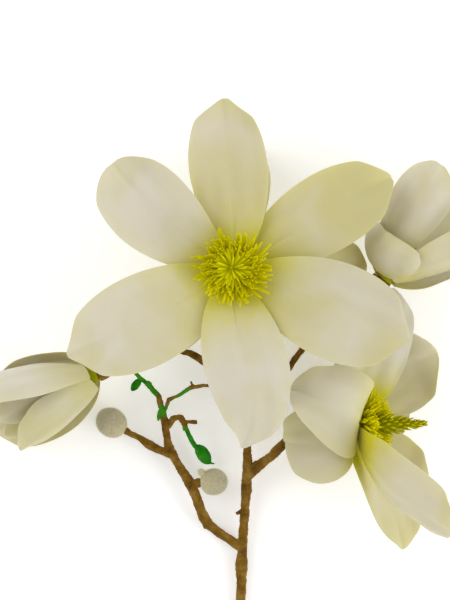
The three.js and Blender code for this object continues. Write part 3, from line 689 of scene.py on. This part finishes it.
def makeStamens(bloom):
    draw = random.Random(bloom["seed"])
    bottom = bloom["receptacle"] + seat["gap"]
    deselectAll()
    middle = bottom + tuft["height"] / 2 - tuft["lowered"] / 2
    bpy.ops.mesh.primitive_cylinder_add(vertices=tuft["sides"], radius=(tuft["inner"] + tuft["outer"]) / 2,
                                        depth=tuft["height"] - tuft["lowered"], end_fill_type="NOTHING",
                                        location=(0, 0, middle))
    ring = bpy.context.object
    bpy.ops.object.transform_apply(location=True)
    applyModifier(ring, "SOLIDIFY", {"thickness": tuft["outer"] - tuft["inner"], "offset": 0.0})
    applyModifier(ring, "BEVEL", {"width": tuft["rim"], "segments": 2})
    # nothing reads the ring's UV map, and the bevel leaves places in it that change from run to run
    ring.data.uv_layers.remove(ring.data.uv_layers[0])
    for vertex in ring.data.vertices:
        vertex.co = inBloom(bloom, vertex.co)
    # the ring under the stamens' roots takes the root colour a little darker again, as painted shade
    floatAttribute(ring, "reach", [tuft["reach"]] * len(ring.data.vertices))
    floatAttribute(ring, "shade", [tuft["shade"]] * len(ring.data.vertices))
    strap = taperedStrap("strap", tuft["strapSides"], tuft["strapCuts"], tuft["strapTip"])
    pieces = [ring]
    for k in range(bloom["filaments"]):
        s = (k + 0.5) / bloom["filaments"]
        foot = (mix(tuft["outer"], tuft["inner"] + tuft["inset"], s) - tuft["sunk"],
                mix(bottom + tuft["firstRow"], bottom + tuft["height"] - tuft["lastRow"], s))
        length = mix(*bloom["filamentLength"], s) * drawn(draw, *tuft["drawnLength"])
        heading = k * goldenAngle + math.radians(strayed(draw, *tuft["turnSpread"]))
        rise = mix(*bloom["filamentRise"], s) + strayed(draw, *tuft["riseSpread"])
        curl = tuft["curl"] + strayed(draw, *tuft["curlSpread"])
        lean = strayed(draw, *tuft["leanSpread"])
        shade = drawn(draw, *tuft["drawnShade"])
        pieces.append(bentCopy(strap, bloom, foot, heading, rise, length, tuft["width"], curl, lean, shade))
    bpy.data.objects.remove(strap)
    node = bloom["node"] + "_stamens"
    finishPiece(joined(pieces, node + "_tuft"), node + "_tuft", node, filamentSkin)


cone = {
    "neck": 2.6, "sides": 20, "cuts": 44, "tip": 0.35, "radius": 2.9, "taper": 0.75, "belly": 0.25,
    "bellyAt": 0.25, "bellyWidth": 0.25, "reach": 0.12, "seedShift": 50, "strapSides": 5, "strapCuts": 3,
    "strapTip": 0.3, "sunk": 0.7, "firstRow": 0.8, "lastRow": 1.4, "crowding": 1.15, "width": 0.68,
    "narrowing": 0.7, "curl": 26, "turn": 0.2, "leanSpread": (0.3, 0.5), "drawnLength": (0.88, 0.24),
    "shadeSpread": 0.2,
}


def coneBottom(bloom):
    return bloom["receptacle"] + tuft["height"] + 2 * seat["gap"]


def coneRadius(bloom, z):
    bottom = coneBottom(bloom)
    if z <= bloom["receptacle"]:
        return receptacleRadius(z)
    if z < bottom:
        return cone["neck"]
    s = (z - bottom) / (bloom["pistil"] - bottom)
    swelling = 1 + cone["belly"] * bump(cone["bellyAt"], cone["bellyWidth"], s)
    return cone["tip"] + cone["radius"] * max(0.0, 1 - s) ** cone["taper"] * swelling


def makePistil(bloom):
    draw = random.Random(bloom["seed"] + cone["seedShift"])
    core = ringedCylinder(cone["sides"], seat["gap"], bloom["pistil"] - seat["gap"], cone["cuts"], "TRIFAN")
    for vertex in core.data.vertices:
        radius = coneRadius(bloom, vertex.co.z)
        vertex.co = inBloom(bloom, Vector((vertex.co.x * radius, vertex.co.y * radius, vertex.co.z)))
    # the core takes mostly the painted shade colour that lies between the carpels
    floatAttribute(core, "reach", [cone["reach"]] * len(core.data.vertices))
    # the bloom's carpelShade paints its pistil lighter or darker, as painted light and shade
    floatAttribute(core, "shade", [bloom["carpelShade"]] * len(core.data.vertices))
    strap = taperedStrap("carpel", cone["strapSides"], cone["strapCuts"], cone["strapTip"])
    firstLevel = coneBottom(bloom) + cone["firstRow"]
    pieces = [core]
    for k in range(bloom["carpels"]):
        s = (k + 0.5) / bloom["carpels"]
        level = mix(firstLevel, bloom["pistil"] - cone["lastRow"], s ** cone["crowding"])
        foot = (coneRadius(bloom, level) - cone["sunk"], level)
        length = mix(*bloom["carpelLength"], s) * drawn(draw, *cone["drawnLength"])
        heading = drawn(draw, k * goldenAngle, cone["turn"])
        rise = mix(*bloom["carpelRise"], s)
        width = cone["width"] * mix(1.0, cone["narrowing"], s)
        lean = strayed(draw, *cone["leanSpread"])
        shade = drawn(draw, bloom["carpelShade"], cone["shadeSpread"])
        pieces.append(bentCopy(strap, bloom, foot, heading, rise, length, width, cone["curl"], lean, shade))
    bpy.data.objects.remove(strap)
    node = bloom["node"] + "_pistil"
    finishPiece(joined(pieces, node + "_cone"), node + "_cone", node, carpelSkin)


for bloom in (openBloom, rightBloom, leftBloom, upperBloom):
    standBloom(bloom)
    for petalName in bloom["petals"]:
        makePetal(bloom, petalName)
    makeStamens(bloom)
    makePistil(bloom)
    print("made", bloom["node"], "with", len(bloom["petals"]), "petals")

# Points are in millimetres from the open bloom's seat. young gives green stretches by their ends and
# reach, tips give short ends of wood by their ends and radius, and knots give place, reach and height.
# lumps and grit give the size of the bumps and their depth.
branchFinish = {
    "voxel": 0.36, "smooth": 4, "lumps": (3.6, 0.95), "grit": (0.9, 0.24), "tipSides": 16,
    "youngEdge": (0.8, 1.2),
    "young": [((-32.6, -66.6, 11), (-22.4, -56.3, 15), 2.2), ((-34.6, -64.0, 10.4), (-36.6, -71.2, 11), 1.6),
              ((-37.2, -56.4, 10), (-41.5, -53, 10.4), 2.6), ((-23, -74.2, 13), (-22.6, -75.4, 12.8), 1.7)],
    "tips": [((-50.2, -76.1, 9), (-53, -74.6, 9), 1.7), ((-17.8, -99.9, 9.9), (-15.6, -99.6, 10.1), 1.7),
             ((-23.3, -72.4, 13), (-22.7, -74.9, 12.8), 1.3),
             ((-39.9, -54.1, 10), (-41.8, -52.5, 10.3), 1.45)],
    "knots": [(-38.8, -83.4, 2.6, 0.5), (-29.1, -83.9, 4.2, 0.9), (-19.6, -100.9, 4.2, 0.9),
              (-15.4, -116.5, 4.6, 0.7), (-26.7, -68.8, 3.2, 0.8), (10.5, -92.4, 5.0, 0.8),
              (21.0, -85.2, 3.4, 0.5), (8.3, -104.0, 4.0, 0.4)],
}
origin = Vector((openBloom["seatPoint"].x, openBloom["seatPoint"].y, 0))


def fromOrigin(point):
    return origin + Vector(point) * mm


def distanceToStretch(point, start, end):
    direction = end - start
    share = min(1.0, max(0.0, (point - start).dot(direction) / direction.length_squared))
    return (point - start - direction * share).length


def weldedCopy(node, name):
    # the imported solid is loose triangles, so its copy is merged before it is worked on
    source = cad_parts[node]
    copy = bpy.data.objects.new(name, source.data.copy())
    bpy.context.collection.objects.link(copy)
    activate(copy)
    bpy.ops.object.mode_set(mode="EDIT")
    bpy.ops.mesh.select_all(action="SELECT")
    bpy.ops.mesh.remove_doubles(threshold=0.01 * mm)
    bpy.ops.object.mode_set(mode="OBJECT")
    return copy


def remeshed(piece, voxel, rounds):
    applyModifier(piece, "REMESH", {"mode": "VOXEL", "voxel_size": voxel * mm, "adaptivity": 0.0})
    applyModifier(piece, "SMOOTH", {"factor": 0.5, "iterations": rounds})


def roughen(piece, name, size, depth):
    texture = bpy.data.textures.new(name, "CLOUDS")
    texture.noise_scale = size * mm
    texture.noise_depth = 2
    applyModifier(piece, "DISPLACE", {"texture": texture, "strength": depth * mm, "mid_level": 0.5,
                                      "texture_coords": "LOCAL"})


def branchTip(start, end, radius):
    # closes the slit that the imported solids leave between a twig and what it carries
    foot, reach = fromOrigin(start), fromOrigin(end) - fromOrigin(start)
    deselectAll()
    bpy.ops.mesh.primitive_cylinder_add(vertices=branchFinish["tipSides"], radius=radius * mm,
                                        depth=reach.length, location=foot + reach / 2,
                                        rotation=reach.to_track_quat("Z", "Y").to_euler())
    bpy.ops.object.transform_apply(location=True, rotation=True)
    return bpy.context.object


def makeBranch():
    finish = branchFinish
    piece = weldedCopy("woody_branch", "branchBark")
    tips = [branchTip(*tip) for tip in finish["tips"]]
    piece = joined([piece, *tips], "branchBark")
    remeshed(piece, finish["voxel"], finish["smooth"])
    # normals are read before any vertex moves, because each read after a move works them all out anew
    outward = [Vector((v.normal.x, v.normal.y, max(0.0, v.normal.z))) for v in piece.data.vertices]
    for vertex, away in zip(piece.data.vertices, outward):
        place = (vertex.co - origin) / mm
        swell = sum(height * bump(0, reach, math.hypot(place.x - x, place.y - y))
                    for x, y, reach, height in finish["knots"])
        vertex.co += away * swell * mm
    roughen(piece, "barkLumps", *finish["lumps"])
    roughen(piece, "barkGrit", *finish["grit"])
    young = []
    nearEdge, farEdge = finish["youngEdge"]
    stretches = [(fromOrigin(a), fromOrigin(b), reach) for a, b, reach in finish["young"]]
    for vertex in piece.data.vertices:
        share = 0.0
        for start, end, reach in stretches:
            distance = distanceToStretch(vertex.co, start, end) / mm
            share = max(share, 1 - smooth(reach * nearEdge, reach * farEdge, distance))
        young.append(share)
    floatAttribute(piece, "young", young)
    finishPiece(piece, "branch_bark", "woody_branch", bark)
    print("branch:", len(piece.data.polygons), "faces")


makeBranch()

# the coat is full length on a bud at least fullWidth wide, and sunk is the share of it inside the bud's size
furCoat = {"inset": 0.06, "length": 0.6, "comb": 0.8, "jitter": 0.4, "fullWidth": 8, "sunk": 0.4,
           "tipFrom": 0.5, "seed": 7}
silverBuds = {
    "silver_bud_upper": [
        {"centre": (-57.9, -71.7, 9), "toward": (-0.8, 0.6, 0.05), "length": 15, "width": 13.4, "detail": 5},
    ],
    "silver_bud_lower": [
        {"centre": (-10.1, -99.4, 10.4), "toward": (1, 0.05, 0.1), "length": 12.8, "width": 12.4,
         "detail": 5},
        {"centre": (-15.2, -95.2, 12), "toward": (-0.7, 0.6, 0.2), "length": 5, "width": 3.6, "detail": 3},
    ],
}


def furryBud(bud, seed):
    draw = random.Random(seed)
    centre, toward = fromOrigin(bud["centre"]), Vector(bud["toward"]).normalized()
    coat = furCoat["length"] * min(1.0, bud["width"] / furCoat["fullWidth"])
    half = Vector((bud["width"], bud["width"], bud["length"])) / 2
    half -= Vector((1, 1, 1)) * coat * furCoat["sunk"]
    deselectAll()
    bpy.ops.mesh.primitive_ico_sphere_add(subdivisions=bud["detail"], radius=1, location=centre)
    piece = bpy.context.object
    piece.scale = half * mm
    piece.rotation_mode = "QUATERNION"
    piece.rotation_quaternion = toward.to_track_quat("Z", "Y")
    bpy.ops.object.transform_apply(location=True, rotation=True, scale=True)
    skinCount = len(piece.data.vertices)
    bpy.ops.object.mode_set(mode="EDIT")
    bpy.ops.mesh.select_all(action="SELECT")
    bpy.ops.mesh.inset(thickness=furCoat["inset"] * mm, use_individual=True)
    bpy.ops.mesh.poke(offset=coat * mm)
    bpy.ops.object.mode_set(mode="OBJECT")
    # the tip of each hair leans towards the bud's own tip
    turned = toward.to_track_quat("Z", "Y").inverted()
    reach = []
    for index, vertex in enumerate(piece.data.vertices):
        local = turned @ (vertex.co - centre) / mm
        size = Vector((local.x / half.x, local.y / half.y, local.z / half.z)).length
        isTip = index >= skinCount and size > 1 + furCoat["tipFrom"] * coat / half.x
        if isTip:
            wander = Vector([draw.uniform(-1, 1) for _ in range(3)]) * furCoat["jitter"]
            vertex.co += (toward * furCoat["comb"] * coat + wander * coat) * mm
        reach.append(1.0 if isTip else 0.0)
    floatAttribute(piece, "reach", reach)
    return piece


for node, buds in silverBuds.items():
    furry = joined([furryBud(bud, furCoat["seed"] + i) for i, bud in enumerate(buds)], node + "_fur")
    finishPiece(furry, node + "_fur", node, fur, 35)


shootFinish = {"voxel": 0.22, "smooth": 6, "lumps": (1.8, 0.35)}


def makeShoot(node, name):
    piece = weldedCopy(node, name)
    remeshed(piece, shootFinish["voxel"], shootFinish["smooth"])
    roughen(piece, name + "Lumps", *shootFinish["lumps"])
    finishPiece(piece, name, node, shootSkin)


makeShoot("leaf_bud", "leaf_bud_skin")
makeShoot("green_shoot", "green_shoot_skin")
print("buds and shoots made")

# metres and watts; table is the floor's own glow, and cloud the size of its faint patches
stage = {
    "floor": 6.0, "table": 0.24, "cloud": 3.0, "below": 0.2 * mm, "world": 0.66,
    "lamps": {
        "keyFromLeft": {"place": (-0.9, 0.5, 0.9), "size": 1.1, "power": 5.4, "color": (1.0, 0.99, 0.96)},
        "fillFromRight": {"place": (0.95, 0.2, 0.9), "size": 1.2, "power": 2.6, "color": (1.0, 1.0, 1.0)},
        "lowFromRight": {"place": (0.8, -0.45, 0.45), "size": 0.5, "power": 2.8, "color": (1.0, 1.0, 1.0)},
    },
}


def paleFloor():
    # a lit white table, so that the shadows stay pale
    material = startMaterial("paleFloorPaint")
    body = addNode(material, "ShaderNodeTexCoord")
    cloud = addNode(material, "ShaderNodeTexNoise", {"Scale": stage["cloud"]}, {"Vector": (body, "Object")})
    color = addNode(material, "ShaderNodeValToRGB",
                    {"stops": [(0.3, "#fbfbfb"), (0.7, "#ffffff")]},
                    {"Fac": (cloud, "Fac")})
    shader = addNode(material, "ShaderNodeBsdfPrincipled",
                     {"Roughness": 0.8, "Specular IOR Level": 0.2, "Emission Strength": stage["table"]},
                     {"Base Color": (color, "Color"), "Emission Color": (color, "Color")})
    addNode(material, "ShaderNodeOutputMaterial", links={"Surface": (shader, "BSDF")})
    deselectAll()
    bpy.ops.mesh.primitive_plane_add(size=stage["floor"], location=(0, 0, -stage["below"]))
    floor = bpy.context.object
    floor.name = "floor"
    floor.data.materials.append(material)


def softLight(name, place, size, power, color):
    light = bpy.data.lights.new(name, "AREA")
    light.shape = "DISK"
    light.size = size
    light.energy = power
    light.color = color
    lamp = bpy.data.objects.new(name, light)
    lamp.location = place
    lamp.rotation_mode = "QUATERNION"
    lamp.rotation_quaternion = (-Vector(place)).to_track_quat("-Z", "Y")
    bpy.context.collection.objects.link(lamp)


paleFloor()
for lampName, lamp in stage["lamps"].items():
    softLight(lampName, **lamp)
world = bpy.data.worlds.new("softRoom")
world.use_nodes = True
world.node_tree.nodes["Background"].inputs["Color"].default_value = (1.0, 1.0, 1.0, 1.0)
world.node_tree.nodes["Background"].inputs["Strength"].default_value = stage["world"]
bpy.context.scene.world = world
bpy.context.scene.view_settings.view_transform = "Standard"

# about a metre straight above, through a long lens
cameraAbove = {"place": (-4.5, -13.5, 1060), "lens": 133.33, "sensor": 36.0, "farEnd": 20.0}
camera = bpy.data.cameras.new("cameraAbove")
camera.lens = cameraAbove["lens"]
camera.sensor_width = cameraAbove["sensor"]
camera.clip_end = cameraAbove["farEnd"]
eye = bpy.data.objects.new("cameraAbove", camera)
eye.location = fromOrigin(cameraAbove["place"])
bpy.context.collection.objects.link(eye)
bpy.context.scene.camera = eye
print("stage set")
